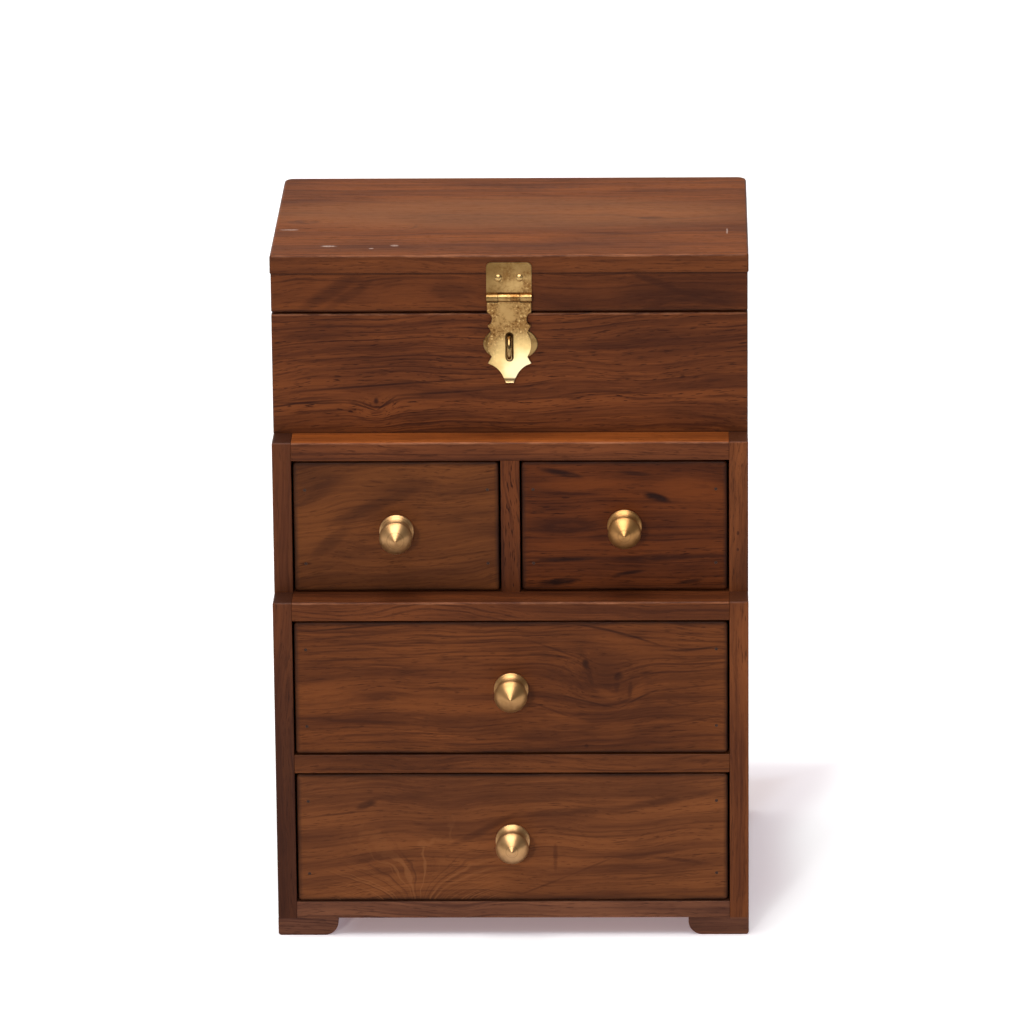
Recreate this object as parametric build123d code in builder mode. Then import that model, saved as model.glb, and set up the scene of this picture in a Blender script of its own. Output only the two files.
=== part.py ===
from build123d import *
import math
import os

# Stepped wooden chest: two wide drawers, two small drawers side by side above them, and a
# till with a hinged flat lid at the top. Brass knobs, butt hinges and a hasp with its staple.
# Millimetres, +Z up, the front faces -Y, the origin is on the floor under the middle of the
# whole chest, knobs and hinge barrels included.

# Case boards
WIDTH = 250.0
BASE_DEPTH = 208.0
LOWER_LEDGE = 19.0
UPPER_LEDGE = 19.0
SIDE_T = 10.0
BACK_T = 10.0
BOTTOM_T = 9.0
SHELF_T = 10.0
LOWER_LEDGE_T = 10.0
UPPER_LEDGE_T = 10.0
DIVIDER_T = 10.0
TILL_FRONT_T = 10.0
LOW_BAY_H = 72.0
MID_BAY_H = 74.0
TOP_BAY_H = 72.0
TILL_H = 65.0
NOSING_R = 1.3
ARRIS_R = 0.9
SEAM_R = 0.4

# Feet
FOOT_H = 9.5
FOOT_W = 32.0
FOOT_D = 32.0
FOOT_ROUND_R = 7.5
FOOT_EDGE_R = 1.8

# Lid
LID_GAP = 1.0
LID_RAIL_H = 20.6
LID_RAIL_T = 10.0
LID_TOP_T = 10.0
LID_OVERHANG = 0.5
LID_BACK_CORNER_R = 5.0
LID_FRONT_CORNER_R = 1.5
LID_EDGE_R = 1.6
LID_OPEN_ANGLE = 100.0
LID_STOP_MARGIN = 4.0

# Drawers
FRONT_T = 10.0
FRONT_RECESS = 0.5
FRONT_END_GAP = 1.0
FRONT_TOP_GAP = 0.9
FRONT_BOTTOM_GAP = 0.8
FRONT_CORNER_R = 2.0
FRONT_EDGE_R = 1.1
DRAWER_SIDE_T = 9.0
DRAWER_SIDE_INSET = 1.5
DRAWER_SIDE_DROP = 3.0
DRAWER_BACK_T = 9.0
DRAWER_RUN_GAP = 0.2
DRAWER_BACK_GAP = 1.0
PANEL_T = 4.0
PANEL_LIFT = 5.0
GROOVE_DEPTH = 4.0
GROOVE_PLAY = 0.1
SMALL_LEFT_KNOB_DROP = 2.5
SMALL_RIGHT_KNOB_DROP = 0.0
UPPER_KNOB_DROP = 0.8
LOWER_KNOB_DROP = 1.8

# Knobs and their screws
KNOB_LENGTH = 21.5
KNOB_BASE_R = 9.1
KNOB_RIM = 1.0
KNOB_NECK_R = 5.8
KNOB_NECK_AT = 6.4
KNOB_HEAD_R = 8.8
KNOB_HEAD_AT = 13.2
KNOB_FLARE = [(-1, 0.7), (0, 1)]
KNOB_UNDERSIDE = [(0, 1), (1, 0.8)]
KNOB_POINT = [(-0.5, 1), (-1, 0.75)]
KNOB_BORE_SPARE = 1.0
KNOB_SCREW_R = 1.8
KNOB_SCREW_BITE = 8.0
KNOB_SCREW_HEAD_R = 3.6
KNOB_SCREW_HEAD_H = 2.2
KNOB_SCREW_PLAY = 0.1

# Nails
CASE_NAIL_R = 1.0
CASE_NAIL_L = 28.0
CASE_NAIL_SETBACK = 26.0
BACK_NAIL_END = 48.0
FOOT_NAIL_SHORT = 3.5
FOOT_NAIL_SPACING = 14.0
FOOT_NAIL_FROM_SIDE = 8.0
BRAD_R = 0.8
BRAD_L = 25.0
BRAD_EDGE = 15.0
NAIL_SINK = 0.3
NAIL_PLAY = 0.03

# Lid hinges
HINGE_L = 24.0
HINGE_FROM_SIDE = 40.0
LEAF_SETBACK = 1.0
LEAF_T = 0.8
LEAF_PLAY = 0.1
LEAF_FIT = 0.1
HINGE_PIN_R = 1.0
PIN_PLAY = 0.05
KNUCKLE_WALL = 0.8
KNUCKLE_GAP = 0.2
BARREL_CLEAR = 0.3
HINGE_SCREW_R = 1.0
HINGE_SCREW_HEAD_R = 1.8
HINGE_SCREW_L = 8.0
HINGE_SCREW_SPACING = 13.0

# Hasp and staple
HASP_W = 23.8
HASP_PLATE_H = 16.5
HASP_PLATE_T = 1.0
HASP_CORNER_R = 2.5
HASP_AXIS_H = 7.9
HASP_KNUCKLE_R = 2.2
HASP_PIN_R = 1.1
HASP_MID_KNUCKLE = 11.3
HASP_NAIL_SPACING = 11.1
HASP_NAIL_DROP = 8.3
HASP_NAIL_R = 0.8
HASP_NAIL_L = 8.0
HASP_NAIL_HEAD_R = 2.0
HASP_NAIL_HEAD_H = 1.1
STRAP_T = 1.2
STRAP_CLEAR = 0.2
STRAP_HALF_W = 11.6
STRAP_DISC_R = 11.4
STRAP_DISC_DROP = 23.1
STRAP_NECK_IN = 2.1
STRAP_CUSP_HALF_W = 11.4
STRAP_CUSP_FROM_DISC = 10.3
STRAP_NOTCH_HALF_W = 9.1
STRAP_NOTCH_RISE = 4.2
STRAP_SHOULDER_RISE = 7.1
STRAP_SWEEP = (6.0, 3.2)
STRAP_SWEEP_END = (3.6, 6.8)
STRAP_TIP = (3.0, 8.0)
LIP_L = 3.3
LIP_END_HALF_W = 2.0
LIP_ANGLE = 35.0
SLOT_BELOW_DISC = 1.25
SLOT_END_CLEAR = 1.3
SLOT_SIDE_CLEAR = 0.85
STAPLE_WIRE_R = 1.3
STAPLE_H = 13.2
STAPLE_REACH = 10.0
STAPLE_END_GAP = 0.5
STAPLE_PLATE_HALF_W = 14.3
STAPLE_PLATE_HALF_H = 9.4
STAPLE_PLATE_T = 1.0
STAPLE_PLATE_EDGE_R = 0.4
STAPLE_PLATE_SHIFT = 0.5

# The hinge pin sits just inside the back face, so that the back edges of lid and case meet
# and stop the lid a little past its open angle.
HINGE_INSET = (LID_GAP / 2) / math.tan(math.radians((LID_OPEN_ANGLE + LID_STOP_MARGIN) / 2))
KNUCKLE_BORE_R = HINGE_PIN_R + PIN_PLAY
KNUCKLE_R = KNUCKLE_BORE_R + KNUCKLE_WALL
BARREL_PROUD = KNUCKLE_R - HINGE_INSET
KNOB_PROUD = KNOB_LENGTH - FRONT_RECESS

# Faces of the case along Y
OVERALL_DEPTH = KNOB_PROUD + BASE_DEPTH + BARREL_PROUD
FRONT_Y = KNOB_PROUD - OVERALL_DEPTH / 2
MID_Y = FRONT_Y + LOWER_LEDGE
TOP_Y = MID_Y + UPPER_LEDGE
BACK_Y = FRONT_Y + BASE_DEPTH
INNER_BACK_Y = BACK_Y - BACK_T
HINGE_Y = BACK_Y - HINGE_INSET

# Faces of the case along X
HALF_W = WIDTH / 2
INNER_X = HALF_W - SIDE_T
SMALL_BAY_W = INNER_X - DIVIDER_T / 2
HINGE_X = INNER_X - HINGE_FROM_SIDE
LEAF_W = BACK_T - LEAF_SETBACK

# Levels along Z
LOW_FLOOR_Z = FOOT_H + BOTTOM_T
SHELF_Z = LOW_FLOOR_Z + LOW_BAY_H
MID_FLOOR_Z = SHELF_Z + SHELF_T
LOWER_LEDGE_Z = MID_FLOOR_Z + MID_BAY_H
TOP_FLOOR_Z = LOWER_LEDGE_Z + LOWER_LEDGE_T
UPPER_LEDGE_Z = TOP_FLOOR_Z + TOP_BAY_H
TILL_FLOOR_Z = UPPER_LEDGE_Z + UPPER_LEDGE_T
RIM_Z = TILL_FLOOR_Z + TILL_H
LID_Z = RIM_Z + LID_GAP
LID_TOP_Z = LID_Z + LID_RAIL_H
HINGE_Z = RIM_Z + LID_GAP / 2
HASP_Z = LID_Z + HASP_AXIS_H
HASP_Y = TOP_Y - HASP_KNUCKLE_R
BARREL_BOTTOM_Z = HASP_Z - HASP_KNUCKLE_R
SLOT_DROP = STRAP_DISC_DROP + SLOT_BELOW_DISC
STAPLE_Z = BARREL_BOTTOM_Z - SLOT_DROP
FOOT_NAIL_L = FOOT_H + BOTTOM_T - FOOT_NAIL_SHORT

os.makedirs("parts", exist_ok=True)


def save(piece, label):
    """Label a finished piece and write it under that name."""
    piece.part.label = label
    export_step(piece.part, f"parts/{label}.step")


def slab(x, y, z, mode=Mode.ADD):
    """Add or cut the block that lies between three pairs of faces."""
    with Locations(((x[0] + x[1]) / 2, (y[0] + y[1]) / 2, (z[0] + z[1]) / 2)):
        Box(x[1] - x[0], y[1] - y[0], z[1] - z[0], mode=mode)


def rods(starts, direction, radius, length, mode=Mode.ADD):
    """Add or cut a round rod from each start point along a direction."""
    with Locations(*[Plane(origin=start, z_dir=direction) for start in starts]):
        Cylinder(radius, length, align=(Align.CENTER, Align.CENTER, Align.MIN), mode=mode)


def nails(places, radius, length):
    """Add nails driven below the surface at each (start, direction) place."""
    for start, direction in places:
        sunk = Vector(start) + Vector(direction) * NAIL_SINK
        rods([sunk], direction, radius, length - NAIL_SINK)


def nail_holes(places, radius, length):
    """Cut the holes that the nails at these places leave."""
    for start, direction in places:
        rods([start], direction, radius + NAIL_PLAY, length + NAIL_PLAY, Mode.SUBTRACT)


# Nail places of the case: two through each side into every level board, three into each long
# edge of the back, and two up through each foot.
SIDE_NAILS = []
FOOT_NAILS = []
level_boards = (
    (FOOT_H + BOTTOM_T / 2, FRONT_Y),
    (SHELF_Z + SHELF_T / 2, FRONT_Y),
    (LOWER_LEDGE_Z + LOWER_LEDGE_T / 2, FRONT_Y),
    (UPPER_LEDGE_Z + UPPER_LEDGE_T / 2, MID_Y),
)
for side in (-1, 1):
    for nail_z, board_front in level_boards:
        for nail_y in (board_front + CASE_NAIL_SETBACK, INNER_BACK_Y - CASE_NAIL_SETBACK):
            SIDE_NAILS.append(((side * HALF_W, nail_y, nail_z), (-side, 0, 0)))
    for nail_z in (FOOT_H + BACK_NAIL_END, (FOOT_H + RIM_Z) / 2, RIM_Z - BACK_NAIL_END):
        SIDE_NAILS.append(((side * HALF_W, INNER_BACK_Y + BACK_T / 2, nail_z), (-side, 0, 0)))
    for foot_y in (FRONT_Y + FOOT_D / 2, BACK_Y - FOOT_D / 2):
        for shift in (-FOOT_NAIL_SPACING / 2, FOOT_NAIL_SPACING / 2):
            foot_nail = (side * (INNER_X - FOOT_NAIL_FROM_SIDE), foot_y + shift, 0)
            FOOT_NAILS.append((foot_nail, (0, 0, 1)))


def side_panel(side):
    """One stepped side board: its front edge follows the three tiers."""
    till_y = TOP_Y + TILL_FRONT_T
    outline = [
        (FRONT_Y, FOOT_H),
        (BACK_Y, FOOT_H),
        (BACK_Y, RIM_Z),
        (till_y, RIM_Z),
        (till_y, TILL_FLOOR_Z),
        (MID_Y, TILL_FLOOR_Z),
        (MID_Y, TOP_FLOOR_Z),
        (FRONT_Y, TOP_FLOOR_Z),
    ]
    with BuildPart() as panel:
        with BuildSketch(Plane.YZ.offset(side * INNER_X)):
            Polygon(*outline, align=None)
        extrude(amount=side * SIDE_T)
        across = panel.edges().filter_by(Axis.X)
        lower_nose = across.sort_by_distance((0, FRONT_Y, TOP_FLOOR_Z))[0]
        upper_nose = across.sort_by_distance((0, MID_Y, TILL_FLOOR_Z))[0]
        fillet([lower_nose, upper_nose], NOSING_R)
        outer_face = panel.faces().sort_by(Axis.X)[-1 if side > 0 else 0]
        fillet(outer_face.edges(), ARRIS_R)
        inner_face = panel.faces().sort_by(Axis.X)[0 if side > 0 else -1]
        inner_uprights = inner_face.edges().filter_by(Axis.Z)
        fillet(inner_uprights.filter_by_position(Axis.Y, FRONT_Y, MID_Y), SEAM_R)
        nail_holes(SIDE_NAILS, CASE_NAIL_R, CASE_NAIL_L)
    return panel


# Stepped side panels
left_side_panel = side_panel(-1)
save(left_side_panel, "left_side_panel")
right_side_panel = side_panel(1)
save(right_side_panel, "right_side_panel")


def level_board(front, bottom, thickness, nose_r):
    """A board between the side panels, from a tier's front to the back panel."""
    with BuildPart() as board:
        slab((-INNER_X, INNER_X), (front, INNER_BACK_Y), (bottom, bottom + thickness))
        front_edges = board.edges().filter_by(Axis.X).group_by(Axis.Y)[0].sort_by(Axis.Z)
        fillet(front_edges[-1], nose_r)
        fillet(board.edges().filter_by(Axis.X).group_by(Axis.Y)[0].sort_by(Axis.Z)[0], SEAM_R)
        fillet(board.edges().filter_by(Axis.Z).group_by(Axis.Y)[0], SEAM_R)
        nail_holes(SIDE_NAILS, CASE_NAIL_R, CASE_NAIL_L)
        nail_holes(FOOT_NAILS, CASE_NAIL_R, FOOT_NAIL_L)
    return board


# Bottom board, shelf between the wide drawers, and the two boards whose fronts are the ledges
bottom_board = level_board(FRONT_Y, FOOT_H, BOTTOM_T, SEAM_R)
save(bottom_board, "bottom_board")
drawer_shelf = level_board(FRONT_Y, SHELF_Z, SHELF_T, SEAM_R)
save(drawer_shelf, "drawer_shelf")
lower_ledge_board = level_board(FRONT_Y, LOWER_LEDGE_Z, LOWER_LEDGE_T, NOSING_R)
save(lower_ledge_board, "lower_ledge_board")
upper_ledge_board = level_board(MID_Y, UPPER_LEDGE_Z, UPPER_LEDGE_T, NOSING_R)
save(upper_ledge_board, "upper_ledge_board")

# Upright divider between the small drawers
with BuildPart() as drawer_divider:
    slab((-DIVIDER_T / 2, DIVIDER_T / 2), (MID_Y, INNER_BACK_Y), (TOP_FLOOR_Z, UPPER_LEDGE_Z))
    fillet(drawer_divider.edges().filter_by(Axis.Z).group_by(Axis.Y)[0], SEAM_R)
save(drawer_divider, "drawer_divider")

# Staple legs pass through the till front and its oval plate.
STAPLE_LEGS = [
    (0, TOP_Y - STAPLE_PLATE_T, STAPLE_Z + end * (STAPLE_H / 2 - STAPLE_WIRE_R)) for end in (-1, 1)
]
STAPLE_LEG_L = STAPLE_PLATE_T + TILL_FRONT_T


def staple_holes():
    """Cut the two holes that the staple's legs pass through."""
    rods(STAPLE_LEGS, (0, 1, 0), STAPLE_WIRE_R + PIN_PLAY, STAPLE_LEG_L, Mode.SUBTRACT)


# Front of the till, planted over the front edges of both side panels
with BuildPart() as till_front_board:
    slab((-HALF_W, HALF_W), (TOP_Y, TOP_Y + TILL_FRONT_T), (TILL_FLOOR_Z, RIM_Z))
    fillet(till_front_board.edges().filter_by(Axis.Z).group_by(Axis.Y)[0], ARRIS_R)
    fillet(till_front_board.faces().sort_by(Axis.Z)[-1].edges().sort_by(Axis.Y)[0], ARRIS_R)
    staple_holes()
save(till_front_board, "till_front_board")


# Hinge places: the leaves are let into the meeting edges of the back panel and the lid's rail.
HINGES = {"left": -HINGE_X, "right": HINGE_X}
LEAF_REACH = KNUCKLE_R + BARREL_CLEAR
LEAF_LET_IN = LEAF_T + LEAF_PLAY / 2 - LID_GAP / 2
HINGE_SCREW_Y = HINGE_Y - (LEAF_W + LEAF_REACH) / 2


def hinge_screws(face_z, direction, play=0.0, mode=Mode.ADD):
    """Add, or cut the seats of, the countersunk screws of both leaves on one side."""
    from_head = (Align.CENTER, Align.CENTER, Align.MIN)
    for hinge_x in HINGES.values():
        for shift in (-HINGE_SCREW_SPACING / 2, HINGE_SCREW_SPACING / 2):
            head = Plane(origin=(hinge_x + shift, HINGE_SCREW_Y, face_z), z_dir=(0, 0, direction))
            with Locations(head):
                Cone(HINGE_SCREW_HEAD_R + play, HINGE_SCREW_R + play, LEAF_T, align=from_head, mode=mode)
            with Locations(head.offset(LEAF_T)):
                Cylinder(HINGE_SCREW_R + play, HINGE_SCREW_L + play, align=from_head, mode=mode)


def hinge_seats(edge_z, direction):
    """Cut the pockets of the leaves and the hollows round the barrels into a board's edge."""
    for hinge_x in HINGES.values():
        half = HINGE_L / 2 + LEAF_FIT
        depth = sorted((edge_z, edge_z + direction * LEAF_LET_IN))
        slab((hinge_x - half, hinge_x + half), (HINGE_Y - LEAF_W - LEAF_FIT, BACK_Y), depth, Mode.SUBTRACT)
        rods([(hinge_x - half, HINGE_Y, HINGE_Z)], (1, 0, 0), LEAF_REACH, 2 * half, Mode.SUBTRACT)
    hinge_screws(HINGE_Z + direction * LEAF_PLAY / 2, direction, NAIL_PLAY, Mode.SUBTRACT)


# Back panel between the side panels
with BuildPart() as back_panel:
    slab((-INNER_X, INNER_X), (INNER_BACK_Y, BACK_Y), (FOOT_H, RIM_Z))
    hinge_seats(RIM_Z, -1)
    nail_holes(SIDE_NAILS, CASE_NAIL_R, CASE_NAIL_L)
    nail_holes(FOOT_NAILS, CASE_NAIL_R, FOOT_NAIL_L)
save(back_panel, "back_panel")


def foot(side, outer_y, inner_y):
    """A corner foot, flush with the case outside and rounded off at its inner end."""
    depth = sorted((outer_y, inner_y))
    with BuildPart() as block:
        slab(sorted((side * HALF_W, side * (HALF_W - FOOT_W))), depth, (0, FOOT_H))
        low = block.edges().filter_by(Axis.Y).group_by(Axis.Z)[0].sort_by(Axis.X)
        inner, outer = (low[0], low[-1]) if side > 0 else (low[-1], low[0])
        fillet(inner, FOOT_ROUND_R)
        fillet(outer, FOOT_EDGE_R)
        nail_holes(FOOT_NAILS, CASE_NAIL_R, FOOT_NAIL_L)
    return block


# Four feet
for side_name, side in (("left", -1), ("right", 1)):
    front_foot = foot(side, FRONT_Y, FRONT_Y + FOOT_D)
    save(front_foot, f"front_{side_name}_foot")
    rear_foot = foot(side, BACK_Y, BACK_Y - FOOT_D)
    save(rear_foot, f"rear_{side_name}_foot")

# Nails that hold the case together
with BuildPart() as case_nails:
    nails(SIDE_NAILS, CASE_NAIL_R, CASE_NAIL_L)
    nails(FOOT_NAILS, CASE_NAIL_R, FOOT_NAIL_L)
save(case_nails, "case_nails")

# The hasp's plate is nailed to the lid's front rail.
HASP_NAIL_Z = BARREL_BOTTOM_Z + 2 * HASP_KNUCKLE_R + HASP_PLATE_H - HASP_NAIL_DROP
HASP_NAILS = [(end * HASP_NAIL_SPACING / 2, TOP_Y - HASP_PLATE_T, HASP_NAIL_Z) for end in (-1, 1)]


def hasp_nail_holes():
    """Cut the holes of the two nails that hold the hasp's plate."""
    rods(HASP_NAILS, (0, 1, 0), HASP_NAIL_R + NAIL_PLAY, HASP_NAIL_L + NAIL_PLAY, Mode.SUBTRACT)


# Lid: a flat board over a frame of four rails
with BuildPart() as lid_top_board:
    half_lid = HALF_W + LID_OVERHANG
    slab((-half_lid, half_lid), (TOP_Y, BACK_Y), (LID_TOP_Z, LID_TOP_Z + LID_TOP_T))
    upright = lid_top_board.edges().filter_by(Axis.Z).group_by(Axis.Y)
    fillet(upright[0], LID_FRONT_CORNER_R)
    fillet(lid_top_board.edges().filter_by(Axis.Z).group_by(Axis.Y)[-1], LID_BACK_CORNER_R)
    fillet(lid_top_board.faces().sort_by(Axis.Z)[-1].edges(), LID_EDGE_R)
    fillet(lid_top_board.faces().sort_by(Axis.Z)[0].edges().sort_by(Axis.Y)[0], SEAM_R)
    hasp_nail_holes()
save(lid_top_board, "lid_top_board")

with BuildPart() as lid_front_rail:
    slab((-HALF_W, HALF_W), (TOP_Y, TOP_Y + LID_RAIL_T), (LID_Z, LID_TOP_Z))
    fillet(lid_front_rail.edges().filter_by(Axis.Z).group_by(Axis.Y)[0], ARRIS_R)
    fillet(lid_front_rail.faces().sort_by(Axis.Z)[0].edges().sort_by(Axis.Y)[0], ARRIS_R)
    hasp_nail_holes()
save(lid_front_rail, "lid_front_rail")

with BuildPart() as lid_back_rail:
    slab((-INNER_X, INNER_X), (BACK_Y - LID_RAIL_T, BACK_Y), (LID_Z, LID_TOP_Z))
    hinge_seats(LID_Z, 1)
save(lid_back_rail, "lid_back_rail")

for side_name, side in (("left", -1), ("right", 1)):
    with BuildPart() as lid_end_rail:
        slab(sorted((side * INNER_X, side * HALF_W)), (TOP_Y + LID_RAIL_T, BACK_Y), (LID_Z, LID_TOP_Z))
        outer_face = lid_end_rail.faces().sort_by(Axis.X)[-1 if side > 0 else 0]
        fillet(outer_face.edges(), SEAM_R)
    save(lid_end_rail, f"lid_{side_name}_rail")

# Knuckles share the hinge's length in three, the middle one on the lid's leaf.
KNUCKLE_L = (HINGE_L - 2 * KNUCKLE_GAP) / 3
KNUCKLE_STEP = KNUCKLE_L + KNUCKLE_GAP
LEAF_ROOT_Y = HINGE_Y - (KNUCKLE_BORE_R + KNUCKLE_R) / 2


def hinge_leaf(hinge_x, direction, knuckle_steps):
    """A flat leaf with its own knuckles, below (-1) or above (+1) the pin."""
    face_z = HINGE_Z + direction * LEAF_PLAY / 2
    level = sorted((face_z, face_z + direction * LEAF_T))
    with BuildPart() as leaf:
        slab((hinge_x - HINGE_L / 2, hinge_x + HINGE_L / 2), (HINGE_Y - LEAF_W, HINGE_Y - LEAF_REACH), level)
        for step in knuckle_steps:
            start_x = hinge_x + step * KNUCKLE_STEP - KNUCKLE_L / 2
            slab((start_x, start_x + KNUCKLE_L), (HINGE_Y - LEAF_REACH, LEAF_ROOT_Y), level)
            rods([(start_x, HINGE_Y, HINGE_Z)], (1, 0, 0), KNUCKLE_R, KNUCKLE_L)
        rods([(hinge_x - HINGE_L, HINGE_Y, HINGE_Z)], (1, 0, 0), KNUCKLE_BORE_R, 2 * HINGE_L, Mode.SUBTRACT)
        hinge_screws(face_z, direction, NAIL_PLAY, Mode.SUBTRACT)
    return leaf


# Two brass butt hinges with their pins and screws
for hinge_name, hinge_x in HINGES.items():
    case_leaf = hinge_leaf(hinge_x, -1, (-1, 1))
    save(case_leaf, f"{hinge_name}_hinge_case_leaf")
    lid_leaf = hinge_leaf(hinge_x, 1, (0,))
    save(lid_leaf, f"{hinge_name}_hinge_lid_leaf")

with BuildPart() as hinge_pins:
    pin_starts = [(hinge_x - HINGE_L / 2, HINGE_Y, HINGE_Z) for hinge_x in HINGES.values()]
    rods(pin_starts, (1, 0, 0), HINGE_PIN_R, HINGE_L)
save(hinge_pins, "hinge_pins")

with BuildPart() as case_hinge_screws:
    hinge_screws(HINGE_Z - LEAF_PLAY / 2, -1)
save(case_hinge_screws, "case_hinge_screws")

with BuildPart() as lid_hinge_screws:
    hinge_screws(HINGE_Z + LEAF_PLAY / 2, 1)
save(lid_hinge_screws, "lid_hinge_screws")

# Hasp plate: a flat plate on the lid with an outer knuckle at each end of its lower edge
HASP_BORE_R = HASP_PIN_R + PIN_PLAY
HASP_OUTER_KNUCKLE = (HASP_W - HASP_MID_KNUCKLE) / 2 - KNUCKLE_GAP
HASP_PLATE_TOP_Z = HASP_Z + HASP_KNUCKLE_R + HASP_PLATE_H

with BuildPart() as hasp_plate:
    slab((-HASP_W / 2, HASP_W / 2), (TOP_Y - HASP_PLATE_T, TOP_Y), (HASP_Z, HASP_PLATE_TOP_Z))
    fillet(hasp_plate.edges().filter_by(Axis.Y).group_by(Axis.Z)[-1], HASP_CORNER_R)
    window = HASP_MID_KNUCKLE / 2 + KNUCKLE_GAP
    window_top = HASP_Z + HASP_KNUCKLE_R + BARREL_CLEAR
    slab((-window, window), (TOP_Y - HASP_PLATE_T, TOP_Y), (HASP_Z, window_top), Mode.SUBTRACT)
    knuckle_starts = [(-HASP_W / 2, HASP_Y, HASP_Z), (window, HASP_Y, HASP_Z)]
    rods(knuckle_starts, (1, 0, 0), HASP_KNUCKLE_R, HASP_OUTER_KNUCKLE)
    rods([(-HASP_W, HASP_Y, HASP_Z)], (1, 0, 0), HASP_BORE_R, 2 * HASP_W, Mode.SUBTRACT)
    hasp_nail_holes()
save(hasp_plate, "hasp_plate")

with BuildPart() as hasp_pin:
    rods([(-HASP_W / 2, HASP_Y, HASP_Z)], (1, 0, 0), HASP_PIN_R, HASP_W)
save(hasp_pin, "hasp_pin")

# Two round-headed nails: the heads are caps of a sphere that spans the head's width
HASP_NAIL_DOME_R = (HASP_NAIL_HEAD_R**2 + HASP_NAIL_HEAD_H**2) / (2 * HASP_NAIL_HEAD_H)

with BuildPart() as hasp_nails:
    rods(HASP_NAILS, (0, 1, 0), HASP_NAIL_R, HASP_NAIL_L)
    for nail_x, nail_y, nail_z in HASP_NAILS:
        profile = Plane(origin=(nail_x, nail_y, nail_z), x_dir=(1, 0, 0), z_dir=(0, 0, -1))
        on_arc = HASP_NAIL_DOME_R * math.sin(math.asin(HASP_NAIL_HEAD_R / HASP_NAIL_DOME_R) / 2)
        arc_height = HASP_NAIL_HEAD_H - HASP_NAIL_DOME_R + math.sqrt(HASP_NAIL_DOME_R**2 - on_arc**2)
        with BuildSketch(profile):
            with BuildLine():
                Line((0, 0), (HASP_NAIL_HEAD_R, 0))
                ThreePointArc((HASP_NAIL_HEAD_R, 0), (on_arc, arc_height), (0, HASP_NAIL_HEAD_H))
                Line((0, HASP_NAIL_HEAD_H), (0, 0))
            make_face()
        revolve(axis=Axis((nail_x, nail_y, nail_z), (0, -1, 0)))
save(hasp_nails, "hasp_nails")

# Hasp strap: an ornamental plate cut to notches, cusps and a round disc, with a long slot over
# the staple and a lip at its tip that is bent outwards for the finger
STRAP_BACK_Y = TOP_Y - STAPLE_PLATE_T - STRAP_CLEAR
STRAP_ROOT_Z = HASP_Z - (HASP_BORE_R + HASP_KNUCKLE_R) / 2
STRAP_NECK = STRAP_DISC_R - STRAP_NECK_IN
STRAP_NECK_RISE = math.sqrt(STRAP_DISC_R**2 - STRAP_NECK**2)
UPPER_CUSP_DROP = STRAP_DISC_DROP - STRAP_CUSP_FROM_DISC
LOWER_CUSP_DROP = STRAP_DISC_DROP + STRAP_CUSP_FROM_DISC
TIP_DROP = LOWER_CUSP_DROP + STRAP_TIP[1]

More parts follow.
